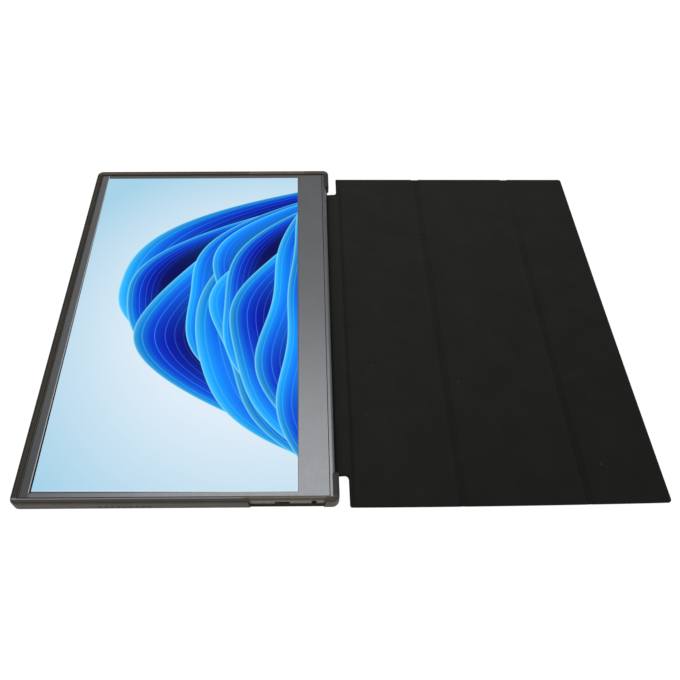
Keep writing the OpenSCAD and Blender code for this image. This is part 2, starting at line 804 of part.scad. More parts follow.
module audio_jack() color("#1c1c1e") near_side() translate([chin_x - jack_at, 0, jack_z])
    difference() {
        union() {
            block(-jack_w / 2, jack_w / 2, side_y - jack_body, inner_y - slit, -jack_h / 2, jack_h / 2);
            translate([0, side_y, 0]) rotate([90, 0, 0]) cylinder(r = jack_nose_r, h = jack_nose_l);
        }
        translate([0, side_y + past, 0]) rotate([90, 0, 0]) cylinder(r = jack_r, h = jack_depth + past);
    }

// ---- sound and magnets ----

module speaker() {
    x = chin_x - speaker_at;
    block(x - speaker_l / 2, x + speaker_l / 2, inner_y - slit - speaker_w, inner_y - slit, z_inner,
        z_chassis - slit);
}

module speakers() color("#303034") {
    speaker();
    near_side() speaker();
}

module speaker_leads() color("#b03028") {
    x0 = chin_x - speaker_at + speaker_l / 2;
    y = inner_y - speaker_w / 2;
    block(x0, usb_x1 - usb_board_w + lead_w, y - lead_w, y, z_pcb - lead_t, z_pcb);
    near_side() block(x0, main_x1 - main_w + lead_w, y - lead_w, y, z_pcb - lead_t, z_pcb);
}

// Evenly spaced places along the hinge
function along(i, count, reach) = (2 * i / (count - 1) - 1) * reach;

module housing_magnets() color("#8f9296") for (i = [0 : magnet_count - 1])
    translate([cell_x0 - magnet_w - magnet_gap,
        along(i, magnet_count, side_y - magnet_inset) - magnet_l / 2, z_inner])
            cube([magnet_w, magnet_l, magnet_t]);

// ---- keys ----

// Carrier behind the keys: two ears hold the rocker's pin, a bridge joins them
module key_carrier() color("#3a3a3e") {
    x = chin_x - rocker_at;
    low = key_z - key_h / 2;
    high = key_z + key_h / 2;
    difference() {
        for (z = [[z_inner, low], [high, high + ear_t]])
            block(x - ear_w / 2, x + ear_w / 2, board_y + slit, inner_y - slit, z[0], z[1]);
        translate([x, pivot_y, z_inner - past]) cylinder(r = pivot_r + pivot_gap, h = housing_h);
    }
    block(x - ear_w / 2, x + ear_w / 2, board_y + slit, key_back_y - slit - key_travel, z_inner,
        high + ear_t);
}

module tact_switches() color("#c8c8c4")
    for (x = [chin_x - power_at, chin_x - rocker_at - plunger_at, chin_x - rocker_at + plunger_at])
        translate([x, 0, 0]) {
            y = board_y;
            block(-switch_w / 2, switch_w / 2, y - switch_l, y, z_pcb + pcb_t, z_pcb + pcb_t + switch_h);
            translate([0, plunger_y, z_pcb + pcb_t + switch_h / 2]) rotate([90, 0, 0])
                cylinder(r = plunger_r, h = plunger_l + slit);
        }

module power_key() color("#55524c") translate([chin_x - power_at, 0, key_z]) {
    from_side(key_face_y, key_face_y - inner_y + slit) rounded_rect(power_l, key_h, key_h / 2 - slit);
    from_side(inner_y - slit, flange_t)
        square([power_l + 2 * flange_side, key_h + 2 * key_gap + slit], center = true);
    from_side(inner_y - slit, inner_y - slit - key_back_y) square([stem_w, key_h - slit], center = true);
}

module menu_rocker() color("#55524c") translate([chin_x - rocker_at, 0, key_z]) {
    from_side(key_face_y, key_face_y - key_back_y)
        rounded_rect(rocker_l, key_h - 2 * slit, rocker_r);
    translate([0, pivot_y, -key_h / 2 - ear_t + slit])
        cylinder(r = pivot_r, h = key_h + 2 * ear_t - 2 * slit);
}

// ---- cover ----

// Section of the spine's arch, between two heights above its foot; the foot starts at x = 0
module arch(w, rise, t0, t1) {
    r = (w * w / 4 + rise * rise) / (2 * rise);
    intersection() {
        difference() {
            translate([w / 2, rise - r]) circle(r + t1);
            translate([w / 2, rise - r]) circle(r + t0);
        }
        square([w, rise + t1]);
    }
}

module spine_strip(t0, t1) {
    w = spine_w - strip_gap - web_half;
    translate([hinge_x + strip_gap, spine_shift + spine_l / 2, 0]) rotate([90, 0, 0])
        linear_extrude(spine_l) arch(w, spine_rise, t0, t1);
}

module spine_skin() color("#2a2826") spine_strip(0, cover_skin_t);

module spine_lining() color("#242422") spine_strip(cover_skin_t, strip_t);

// Plan of a panel between two lines across the cover, with the radius of its corners on each of them
module panel_plan(x0, x1, inset, r0, r1) {
    l = cover_l - 2 * inset;
    translate([0, cover_shift]) difference() {
        translate([x0, -l / 2]) square([x1 - x0, l]);
        for (side = [0, 1]) mirror([0, side]) {
            if (r1 > inset) translate([x1, l / 2]) corner_waste(r1 - inset);
            if (r0 > inset) translate([x0, l / 2]) mirror([1, 0]) corner_waste(r0 - inset);
        }
    }
}

// The first panel's edge stands back beside the spine strip and reaches past it at both ends
module spine_notch(x, grow) {
    translate([x - cover_l, spine_shift - spine_l / 2 - grow])
        square([cover_l, spine_l + 2 * grow]);
}

ear_x = fold_b - ear_reach;
first_x = fold_b + web_half;

// Plan of each panel, less an inset on its free edges and another on its folding edges
module plan_1(inset, fold_inset) {
    difference() {
        panel_plan(ear_x + inset, fold_c - groove_half - fold_inset, inset, ear_r, 0);
        spine_notch(first_x + fold_inset, close_gap + inset);
    }
}

module plan_2(inset, fold_inset) {
    panel_plan(fold_c + groove_half + fold_inset, fold_d - groove_half - fold_inset, inset, 0, 0);
}

module plan_3(inset, fold_inset) {
    panel_plan(fold_d + groove_half + fold_inset, cover_x1 - inset, inset, 0, cover_r);
}

// Half of a groove's web, reaching from a panel's edge to the folding line
module web(x0, x1) {
    l = cover_l - 2 * lining_inset;
    block(x0, x1, cover_shift - l / 2, cover_shift + l / 2, (cover_t - web_t) / 2, (cover_t + web_t) / 2);
}

// Skin of a panel: the outside sheet with its edge turned up round the board
module skin_sheet() {
    linear_extrude(cover_skin_t) children(0);
    translate([0, 0, cover_skin_t - slit]) linear_extrude(board_t + slit) difference() {
        children(0);
        children(1);
    }
}

module panel_1_skin() color("#2a2826") {
    skin_sheet() {
        plan_1(0, 0);
        plan_1(hem_w, hem_w);
    }
    web(fold_c - groove_half - slit, fold_c - web_half);
}

module panel_2_skin() color("#2a2826") {
    skin_sheet() {
        plan_2(0, 0);
        plan_2(hem_w, hem_w);
    }
    web(fold_c + web_half, fold_c + groove_half + slit);
    web(fold_d - groove_half - slit, fold_d - web_half);
}

module panel_3_skin() color("#2a2826") {
    skin_sheet() {
        plan_3(0, 0);
        plan_3(hem_w, hem_w);
    }
    web(fold_d + web_half, fold_d + groove_half + slit);
}

module board_plate() {
    translate([0, 0, cover_skin_t]) linear_extrude(board_t) children();
}

module panel_1_board() color("#8d8a80") board_plate() plan_1(hem_w + slit, hem_w + slit);

module panel_2_board() color("#8d8a80") board_plate() plan_2(hem_w + slit, hem_w + slit);

module panel_3_board() color("#8d8a80") difference() {
    board_plate() plan_3(hem_w + slit, hem_w + slit);
    cover_magnet_row(slit);
}

module lining_plate() {
    translate([0, 0, cover_skin_t + board_t]) linear_extrude(lining_t) children();
}

module panel_1_lining() color("#242422") lining_plate() plan_1(lining_inset, 0);

module panel_2_lining() color("#242422") lining_plate() plan_2(lining_inset, 0);

module panel_3_lining() color("#242422") lining_plate() plan_3(lining_inset, 0);

// Magnets along the cover's free edge, in pockets of the last board
module cover_magnet_row(grow) {
    x = cover_x1 - hem_w - cover_magnet_gap - cover_magnet_w;
    for (i = [0 : magnet_count - 1])
        translate([x - grow, along(i, magnet_count, side_y - magnet_inset) - cover_magnet_l / 2 - grow,
            cover_skin_t])
            cube([cover_magnet_w + 2 * grow, cover_magnet_l + 2 * grow, board_t]);
}

module cover_magnets() color("#8f9296") cover_magnet_row(0);

// ---- nodes ----

back_skin();
tray_shell();
rear_housing();
edge_trim();
front_bezel();
lcd_cell();
optical_films();
light_guide();
mid_frame();
panel_chassis();
led_bar();
panel_board();
panel_flex();
main_board();
board_chips();
usb_board();
board_screws();
board_link_cable();
display_cable();
usb_c_ports();
mini_hdmi_port();
port_inserts();
audio_jack();
speakers();
speaker_leads();
housing_magnets();
key_carrier();
tact_switches();
power_key();
menu_rocker();
spine_skin();
spine_lining();
panel_1_skin();
panel_1_board();
panel_1_lining();
panel_2_skin();
panel_2_board();
panel_2_lining();
panel_3_skin();
panel_3_board();
panel_3_lining();
cover_magnets();
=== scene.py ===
import json
import math

import bmesh
import bpy
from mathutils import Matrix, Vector, noise


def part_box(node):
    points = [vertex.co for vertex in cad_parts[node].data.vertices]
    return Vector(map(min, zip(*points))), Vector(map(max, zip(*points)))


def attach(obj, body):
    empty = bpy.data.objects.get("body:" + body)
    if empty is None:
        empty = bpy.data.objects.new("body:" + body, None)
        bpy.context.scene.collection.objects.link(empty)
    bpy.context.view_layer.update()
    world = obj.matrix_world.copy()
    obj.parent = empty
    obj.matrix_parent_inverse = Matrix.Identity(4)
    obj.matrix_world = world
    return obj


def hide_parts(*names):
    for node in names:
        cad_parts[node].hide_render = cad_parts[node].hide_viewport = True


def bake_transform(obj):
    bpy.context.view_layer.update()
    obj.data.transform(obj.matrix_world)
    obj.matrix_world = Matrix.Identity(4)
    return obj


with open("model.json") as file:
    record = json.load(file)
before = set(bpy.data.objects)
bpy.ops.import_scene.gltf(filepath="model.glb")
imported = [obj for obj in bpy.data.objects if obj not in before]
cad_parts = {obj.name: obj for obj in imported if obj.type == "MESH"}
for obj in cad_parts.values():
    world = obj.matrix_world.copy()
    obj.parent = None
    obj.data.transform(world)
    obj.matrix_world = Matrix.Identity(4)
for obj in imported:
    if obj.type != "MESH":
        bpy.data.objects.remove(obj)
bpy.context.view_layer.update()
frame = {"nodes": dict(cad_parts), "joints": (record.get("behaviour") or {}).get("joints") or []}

# Lengths are in millimetres in the CAD's frame, unless a comment says otherwise. Names that end in RGB are
# screen colours from 0 to 255. A pair of places is where a smooth step starts and where it ends.
MM = 0.001
NODES = frame["nodes"]
# The cover's folding lines, from the monitor outward
FOLD_A, FOLD_B, FOLD_C, FOLD_D = [joint["pos_m"][0] / MM for joint in frame["joints"][:4]]

# ---------------------------------------------------------------- camera

# Solved from the photograph: place in metres, angle from straight down and turn about the vertical in
# degrees, lens, and sideways shift as a share of the picture's width
CAMERA_PLACE = (0.0952, -0.3773, 0.4672)
CAMERA_TILT = 36.66
CAMERA_TURN = -0.41
CAMERA_LENS = 35.88
CAMERA_SENSOR = 36
CAMERA_SHIFT = 0.045
CLIP_NEAR_M, CLIP_FAR_M = 0.01, 20

cam_data = bpy.data.cameras.new("camera")
cam_data.sensor_width = CAMERA_SENSOR
cam_data.lens = CAMERA_LENS
cam_data.shift_x = CAMERA_SHIFT
cam_data.clip_start = CLIP_NEAR_M
cam_data.clip_end = CLIP_FAR_M
camera = bpy.data.objects.new("camera", cam_data)
camera.location = CAMERA_PLACE
camera.rotation_euler = (math.radians(CAMERA_TILT), 0, math.radians(CAMERA_TURN))
bpy.context.scene.collection.objects.link(camera)
bpy.context.scene.camera = camera

# ---------------------------------------------------------------- material helpers


class Mat:
    """A node material with short ways to add and join nodes. A value is a number or a node's output."""

    def __init__(self, name):
        self.mat = bpy.data.materials.new(name)
        self.mat.use_nodes = True
        self.tree = self.mat.node_tree
        self.bsdf = self.tree.nodes["Principled BSDF"]

    def node(self, kind, **values):
        """A new node, with its properties and the values of its inputs."""
        n = self.tree.nodes.new(kind)
        for key, value in values.items():
            if key in n.bl_rna.properties:
                setattr(n, key, value)
            else:
                n.inputs[key.replace("_", " ")].default_value = value
        return n

    def link(self, a, b):
        self.tree.links.new(a, b)

    def set(self, **values):
        """Plain values on the shader's own inputs."""
        for key, value in values.items():
            self.bsdf.inputs[key.replace("_", " ")].default_value = value

    def coords(self):
        """Object coordinates in millimetres, as one vector."""
        place = self.node("ShaderNodeTexCoord")
        mapping = self.node("ShaderNodeMapping")
        mapping.inputs["Scale"].default_value = [1 / MM] * 3
        self.link(place.outputs["Object"], mapping.inputs["Vector"])
        return mapping.outputs[0]

    def xyz(self):
        """Object coordinates in metres, one by one."""
        place = self.node("ShaderNodeTexCoord")
        parts = self.node("ShaderNodeSeparateXYZ")
        self.link(place.outputs["Object"], parts.inputs[0])
        return list(parts.outputs)

    def noise(self, scale, detail=2, rough=0.5, vector=None, distortion=0):
        """Noise from 0 to 1, with scale in features per millimetre."""
        n = self.node("ShaderNodeTexNoise", Scale=scale, Detail=detail, Roughness=rough,
                      Distortion=distortion)
        self.link(vector or self.coords(), n.inputs["Vector"])
        return n.outputs["Fac"]

    def ramp(self, value, stops):
        """A colour for a value from 0 to 1. Each stop is a place and a linear colour."""
        r = self.node("ShaderNodeValToRGB")
        elements = r.color_ramp.elements
        while len(elements) < len(stops):
            elements.new(0.5)
        for i, (place, c) in enumerate(stops):
            elements[i].position = place
            elements[i].color = (*c, 1)
        self.link(value, r.inputs[0])
        return r.outputs["Color"]

    def math(self, op, a, b=None, c=None, clamp=False):
        n = self.node("ShaderNodeMath", operation=op, use_clamp=clamp)
        for socket, value in zip(n.inputs, (a, b, c)):
            if value is None:
                continue
            if isinstance(value, (int, float)):
                socket.default_value = value
            else:
                self.link(value, socket)
        return n.outputs[0]

    def add(self, a, b):
        return self.math("ADD", a, b)

    def sub(self, a, b, clamp=False):
        return self.math("SUBTRACT", a, b, clamp=clamp)

    def mul(self, a, *others, clamp=False):
        """The product of two or more values."""
        for b in others:
            a = self.math("MULTIPLY", a, b, clamp=clamp)
        return a

    def line(self, value, slope, start):
        """Slope times a value, plus start."""
        return self.math("MULTIPLY_ADD", value, slope, start)

    def mix(self, fac, a, b, mode="MIX"):
        n = self.node("ShaderNodeMix", data_type="RGBA", blend_type=mode)
        for socket, value in ((n.inputs[0], fac), (n.inputs[6], a), (n.inputs[7], b)):
            if isinstance(value, (int, float)):
                socket.default_value = value
            elif isinstance(value, (tuple, list)):
                socket.default_value = (*value, 1)
            else:
                self.link(value, socket)
        return n.outputs[2]

    def times(self, c, factor):
        """A colour times another, channel by channel."""
        return self.mix(1, c, factor, "MULTIPLY")

    def grey(self, level):
        """The same level in all three channels."""
        n = self.node("ShaderNodeCombineColor")
        for channel in n.inputs:
            self.link(level, channel)
        return n.outputs[0]

    def step(self, value, start, end):
        """Smooth rise from 0 at start to 1 at end, both in millimetres of an object coordinate."""
        n = self.node("ShaderNodeMapRange", interpolation_type="SMOOTHSTEP")
        n.inputs["From Min"].default_value = start * MM
        n.inputs["From Max"].default_value = end * MM
        self.link(value, n.inputs["Value"])
        return n.outputs[0]

    def bump(self, height, strength, distance):
        """Relief on the shader's normal, with distance in millimetres."""
        b = self.node("ShaderNodeBump", Strength=strength, Distance=distance * MM)
        self.link(height, b.inputs["Height"])
        self.link(b.outputs[0], self.bsdf.inputs["Normal"])

    def base(self):
        """The colour that the material has so far."""
        return self.bsdf.inputs["Base Color"].links[0].from_socket

    def color(self, socket):
        self.link(socket, self.bsdf.inputs["Base Color"])

    def cloudy(self, rgb, scale, spread):
        """A base colour with soft clouds, darker and paler by spread."""
        c = srgb(*rgb)
        cloud = self.noise(scale, 3, 0.6)
        self.color(self.ramp(cloud, [(0.3, scaled(c, 1 - spread)), (0.7, scaled(c, 1 + spread))]))

    def rough(self, value, low, high):
        """Roughness that varies between low and high with a 0 to 1 value."""
        m = self.node("ShaderNodeMapRange")
        m.inputs["To Min"].default_value = low
        m.inputs["To Max"].default_value = high
        self.link(value, m.inputs["Value"])
        self.link(m.outputs[0], self.bsdf.inputs["Roughness"])


def srgb(r, g, b):
    """Linear colour from 0 to 255 screen values."""
    def lin(v):
        v /= 255
        return v / 12.92 if v <= 0.04045 else ((v + 0.055) / 1.055) ** 2.4
    return (lin(r), lin(g), lin(b))


def scaled(values, factor):
    return [v * factor for v in values]


def dress(node, mat):
    """Gives a CAD node a material, in all its slots."""
    data = NODES[node].data
    if not data.materials:
        data.materials.append(mat.mat)
    for i in range(len(data.materials)):
        data.materials[i] = mat.mat


# ---------------------------------------------------------------- plain materials

# Scales of the clouds, of the changes in gloss and of the grain, in features per millimetre
CLOUD, GLOSS, GRAIN = 0.05, 0.4, 9
# How far the roughness goes below and above its named value, and how strongly the grain shows
SMOOTHER, ROUGHER = 0.04, 0.05
GRAIN_STRENGTH = 0.25


def moulded(name, rgb, rough, grain, spread, metallic):
    """Moulded plastic or bead-blasted metal: fine grain and a faint cloud of tone."""
    m = Mat(name)
    m.cloudy(rgb, CLOUD, spread)
    m.rough(m.noise(GLOSS), rough - SMOOTHER, rough + ROUGHER)
    m.set(Metallic=metallic)
    m.bump(m.noise(GRAIN, 2, 0.6), GRAIN_STRENGTH, grain)
    return m


# Name, screen colour, roughness, depth of the grain, spread of the tone, metallic share, and the CAD's nodes
# that are made of it
PLAIN = (
    ("housing_metal", (110, 103, 93), 0.4, 0.02, 0.06, 0.7, ("rear_housing",)),
    ("trim_metal", (140, 142, 146), 0.34, 0.01, 0.04, 0.9, ("edge_trim",)),
    ("key_plastic", (70, 67, 62), 0.4, 0.02, 0.12, 0, ("power_key", "menu_rocker")),
    ("dark_plastic", (30, 30, 32), 0.5, 0.02, 0.12, 0,
     ("mid_frame", "port_inserts", "audio_jack", "speakers", "key_carrier", "board_chips")),
    ("sheet_steel", (176, 178, 182), 0.28, 0.005, 0.05, 0.95,
     ("panel_chassis", "usb_c_ports", "mini_hdmi_port", "board_screws")),
    ("circuit_board", (26, 84, 50), 0.45, 0.01, 0.12, 0, ("panel_board", "main_board", "usb_board")),
    ("white_film", (226, 230, 232), 0.35, 0.002, 0.02, 0, ("optical_films", "light_guide")),
    ("led_strip", (236, 226, 190), 0.5, 0.01, 0.12, 0, ("led_bar",)),
    ("ribbon_cable", (214, 208, 190), 0.45, 0.01, 0.04, 0, ("board_link_cable", "display_cable")),
    ("flex_film", (140, 92, 36), 0.35, 0.004, 0.04, 0, ("panel_flex",)),
    ("lead_rubber", (150, 44, 36), 0.5, 0.01, 0.12, 0, ("speaker_leads",)),
    ("magnet_nickel", (160, 162, 166), 0.3, 0.004, 0.04, 0.95, ("housing_magnets", "cover_magnets")),
    ("switch_plastic", (200, 200, 194), 0.45, 0.01, 0.04, 0, ("tact_switches",)),
    ("panel_card", (140, 137, 126), 0.8, 0.05, 0.08, 0,
     ("panel_1_board", "panel_2_board", "panel_3_board")),
)

plain_mats = {}
for name, *look, nodes in PLAIN:
    plain_mats[name] = moulded(name, *look)
    for node in nodes:
        dress(node, plain_mats[name])

# ---------------------------------------------------------------- tray

# Up onto the flat of the rim, and down onto the wall under it, which is painted darker as shade
TRAY_TOP_Z = (8.3, 8.9)
TRAY_WALL_Z = (8.3, 7.0)
# Onto the rim at the near and the far end, which are painted paler there as highlight, and where the far one
# ends outward
NEAR_RIM_Y = (-175.6, -176.2)
FAR_RIM_Y = (176.4, 177.0)
FAR_RIM_OUT_Y = (180.0, 179.6)
# The strip of rim over the far cut-out, between its two ends, painted paler still as highlight
BRIDGE_X = ((36.5, 38.5), (94.5, 92.5))
# The foot of the wall, painted dark as shade, fading out before the near cut-out
FOOT_Z = (1.7, 0.9)
FOOT_X = (56, 48)
# A strip of painted highlight along the near rim, fading out before the near cut-out, and a line of painted
# shade on its outer side
HIGHLIGHT_STRIP_Y = ((-178.0, -177.7), (-176.4, -176.8))
HIGHLIGHT_STRIP_X = (56, 44)
SHADE_LINE_Y = ((-178.4, -178.2), (-177.7, -177.9))
HIGHLIGHT_STRIP_RGB = (172, 172, 174)


def tray_material():
    """Soft-touch moulded plastic, with painted highlights on its near and far rims and painted shade on its
    wall and foot.
    """
    m = moulded("tray_plastic", (80, 76, 70), rough=0.46, grain=0.03, spread=0.12, metallic=0)
    m.set(Specular_IOR_Level=0.12)
    x, y, z = m.xyz()
    own = m.base()
    top = m.step(z, *TRAY_TOP_Z)
    near = m.mul(m.step(y, *NEAR_RIM_Y), top)
    far = m.mul(m.step(y, *FAR_RIM_Y), m.step(y, *FAR_RIM_OUT_Y), top)
    bridge = m.mul(m.step(x, *BRIDGE_X[0]), m.step(x, *BRIDGE_X[1]), m.step(y, *FAR_RIM_Y))
    wall = m.step(z, *TRAY_WALL_Z)
    foot = m.mul(m.step(z, *FOOT_Z), m.step(x, *FOOT_X))
    shade_line = m.mul(m.step(y, *SHADE_LINE_Y[0]), m.step(y, *SHADE_LINE_Y[1]), top)
    c = own
    # Painted highlights on the near rim, the far rim and the strip over the far cut-out; painted shade on
    # the wall, its foot and the line beside the near rim
    for place, factor in (
        (near, (1.5, 1.48, 1.44)),
        (far, (2.2, 2.0, 1.8)),
        (bridge, (2.9, 2.7, 2.3)),
        (wall, (0.9, 0.9, 0.9)),
        (foot, (0.35, 0.35, 0.35)),
        (shade_line, (0.8, 0.8, 0.8)),
    ):
        c = m.mix(place, c, m.times(own, factor))
    # A strip of painted highlight along the near rim, in a pale grey
    highlight_strip = m.mul(m.step(y, *HIGHLIGHT_STRIP_Y[0]), m.step(x, *HIGHLIGHT_STRIP_X), top, m.step(y, *HIGHLIGHT_STRIP_Y[1]))
    m.color(m.mix(highlight_strip, c, srgb(*HIGHLIGHT_STRIP_RGB)))
    return m


dress("tray_shell", tray_material())

# ---------------------------------------------------------------- bezel

# Painted shade on the strip on the side away from the hinge: where it begins, its tone at mid-length, and
# the change of tone per metre toward the far end
FREE_SHADE_X = (-104.5, -107.5)
FREE_SHADE_TONE, FREE_SHADE_SLOPE = 0.85, 1.9
# A painted highlight in white on the bevel of the opening, along the side away from the hinge
EDGE_HIGHLIGHT_X = ((-106.9, -106.7), (-105.9, -106.1))
EDGE_HIGHLIGHT_Y = (-172.6, -171.6)
# Painted shading along the whole bezel: its tone at mid-length, and its change per metre toward the far end
LENGTH_SHADE_TONE, LENGTH_SHADE_SLOPE = 0.975, 0.5


def bezel_material():
    """Satin printed sheet with painted shade along the side away from the hinge and along its length, and a
    painted highlight on the bevel at the screen.
    """
    m = moulded("bezel_satin", (148, 150, 152), rough=0.34, grain=0.008, spread=0.03, metallic=0.9)
    x, y, _ = m.xyz()
    own = m.base()
    # Painted shade on the free side, and painted shading along the bezel's length
    shaded = m.times(own, m.grey(m.line(y, FREE_SHADE_SLOPE, FREE_SHADE_TONE)))
    c = m.mix(m.step(x, *FREE_SHADE_X), own, shaded)
    c = m.times(c, m.grey(m.line(y, LENGTH_SHADE_SLOPE, LENGTH_SHADE_TONE)))
    edge_highlight = m.mul(m.step(x, *EDGE_HIGHLIGHT_X[0]), m.step(x, *EDGE_HIGHLIGHT_X[1]), m.step(y, *EDGE_HIGHLIGHT_Y))
    m.color(m.mix(edge_highlight, c, (1, 1, 1)))
    return m


dress("front_bezel", bezel_material())

# ---------------------------------------------------------------- leather and lining

LEATHER_RGB = (34, 33, 32)
LEATHER_CLOUD, LEATHER_SPREAD = 0.03, 0.15
LEATHER_GLOSS = 0.8
LEATHER_ROUGH = (0.62, 0.75)
PEBBLE_SCALE = 1.4
PEBBLE_DEPTH, PEBBLE_STRENGTH = 0.06, 0.5

# The cut edge of the back skin: its colour, and how far in from the edge it reaches
SKIN_EDGE_RGB = (74, 71, 68)
SKIN_EDGE_REACH = (1.6, 0.8)

LINING_RGB = (45, 45, 42)
# Painted shading over the lining: its tone at the frame's origin, its fall per metre away from the monitor,
# and its rise per metre toward the far end
SHADING_ORIGIN, SHADING_X, SHADING_Y = 1.29, 0.85, 0.9
# Painted shade in the seam beside the second fold and in the grooves: how much darker they are, how far from
# their middle that reaches, and for what share of the reach it is full
SEAM_X = FOLD_B - 0.4
SEAM_SHADE, SEAM_REACH = 0.2, 1.6
GROOVE_SHADE, GROOVE_REACH = 0.12, 4.0
FULL_SHADE_SHARE = 0.4
# The painted shade of the last groove fades toward the far end, from one of these places to the other
FADE_Y = (10, 140)
# Noise of the nap, of single fibres and of fine relief, and the shares that they have in the tone and in
# the pile's height
NAP_NOISE = {"scale": 0.035, "detail": 5, "rough": 0.62, "distortion": 0.6}
FIBRE_NOISE = {"scale": 2.4, "detail": 4, "rough": 0.7}
FINE_NOISE = {"scale": 3.2, "detail": 3, "rough": 0.7}
NAP_TONE, FIBRE_TONE = 0.75, 0.25
FINE_HEIGHT, NAP_HEIGHT = 0.6, 0.8
# From low to high pile: a place from 0 to 1 and the level of the colour there
PILE_LEVELS = ((0.32, 0.9), (0.5, 1), (0.68, 1.12))
PILE_DEPTH, PILE_STRENGTH = 0.12, 0.6
# Specks of lint: scale in places per millimetre, reach as a share of their spacing, strength and colour
LINT_SCALE, LINT_REACH, LINT_SHARE = 0.045, 0.022, 0.35
LINT_RGB = (150, 150, 145)


def leather_material():
    """Smooth synthetic leather with a fine pebble grain."""
    m = Mat("cover_leather")
    m.cloudy(LEATHER_RGB, LEATHER_CLOUD, LEATHER_SPREAD)
    pebbles = m.node("ShaderNodeTexVoronoi", feature="DISTANCE_TO_EDGE", Scale=PEBBLE_SCALE)
    m.link(m.coords(), pebbles.inputs["Vector"])
    m.rough(m.noise(LEATHER_GLOSS), *LEATHER_ROUGH)
    m.set(Specular_IOR_Level=0.15)
    m.bump(pebbles.outputs["Distance"], PEBBLE_STRENGTH, PEBBLE_DEPTH)
    return m


def skin_material():
    """The leather of the back skin, paler along its cut edge."""
    m = leather_material()
    x, y, _ = m.xyz()
    low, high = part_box("back_skin")
    along = m.math("MINIMUM", m.sub(x, low[0]), m.sub(high[0], x))
    across = m.math("MINIMUM", m.sub(y, low[1]), m.sub(high[1], y))
    edge = m.step(m.math("MINIMUM", along, across), *SKIN_EDGE_REACH)
    m.color(m.mix(edge, m.base(), srgb(*SKIN_EDGE_RGB)))
    return m


def lining_material():
    """Brushed microfibre: short pile, cloudy where the nap lies another way, with a few specks of lint,
    painted shading over it and painted shade in its seam and grooves.
    """
    m = Mat("cover_lining")
    base = srgb(*LINING_RGB)
    place = m.coords()
    nap = m.noise(vector=place, **NAP_NOISE)
    fibre = m.noise(vector=place, **FIBRE_NOISE)
    pile = m.add(m.mul(nap, NAP_TONE), m.mul(fibre, FIBRE_TONE))
    c = m.ramp(pile, [(at, scaled(base, level)) for at, level in PILE_LEVELS])
    x, y, _ = m.xyz()
    # Painted shading: darker away from the monitor and toward the near end
    tone = m.sub(m.line(y, SHADING_Y, SHADING_ORIGIN), m.mul(x, SHADING_X))
    fading = m.sub(GROOVE_SHADE, m.mul(m.step(y, *FADE_Y), GROOVE_SHADE))
    # Painted shade in the seam and the grooves
    for middle, reach, dark in (
        (SEAM_X, SEAM_REACH, SEAM_SHADE),
        (FOLD_C, GROOVE_REACH, GROOVE_SHADE),
        (FOLD_D, GROOVE_REACH, fading),
    ):
        off = m.math("ABSOLUTE", m.sub(x, middle * MM))
        tone = m.sub(tone, m.mul(m.step(off, reach, reach * FULL_SHADE_SHARE), dark))
    c = m.times(c, m.grey(tone))
    specks = m.node("ShaderNodeTexVoronoi", feature="F1", Scale=LINT_SCALE, Randomness=1.0)
    m.link(place, specks.inputs["Vector"])
    lint = m.math("LESS_THAN", specks.outputs["Distance"], LINT_REACH)
    m.color(m.mix(m.mul(lint, LINT_SHARE), c, srgb(*LINT_RGB)))
    m.set(Roughness=0.95, Specular_IOR_Level=0.05, Sheen_Weight=0.03, Sheen_Roughness=0.6,
          Sheen_Tint=(0.8, 0.8, 0.78, 1))
    fine = m.noise(vector=place, **FINE_NOISE)
    m.bump(m.add(m.mul(fine, FINE_HEIGHT), m.mul(nap, NAP_HEIGHT)), PILE_STRENGTH, PILE_DEPTH)
    return m


leather_mat = leather_material()
lining_mat = lining_material()
dress("back_skin", skin_material())

# ---------------------------------------------------------------- screen picture

# The lit area
LIT_X = (-105.3, 88.3)
LIT_Y = (-172.1, 172.1)
# The cell sits a touch turned behind the bezel: where its left side lies, how far each side leans per unit
# of length, and the x below which the near side leans
LEFT_SIDE_X = -105.65
LEFT_LEAN, RIGHT_LEAN, NEAR_LEAN = 0.0038, 0.0039, 0.0085
NEAR_LEAN_X = 45
# A painted highlight of the bezel's bevel on the outermost pixels of the near and the right side, which show
# a little paler
BEVEL_HIGHLIGHT_REACH = (1.0, 0.4)
BEVEL_HIGHLIGHT_SHARE = 0.45
BEVEL_HIGHLIGHT_RGB = (236, 244, 250)
# Painted reflection on the cell's border beyond the right and the near side, where it glows grey, and the
# colour of the glass, which is linear
RIGHT_REFLECTION_RGB = (92, 94, 98)
NEAR_REFLECTION_RGB = (78, 88, 102)
GLASS = (0.003, 0.004, 0.005, 1)

# The pale glow behind the waves: the x of its middle and how far that lies nearer than the frame's origin,
# how fast it falls off per metre, and the shape of the fall
GLOW_X, GLOW_NEARER = 60, 14
GLOW_FALL_X, GLOW_FALL_Y = 5.2, 5.1
GLOW_START, GLOW_GAIN, GLOW_POWER = 0.52, 1.62, 1.05
SKY_PALE_RGB = (222, 236, 247)
SKY_DEEP_RGB = (167, 211, 233)

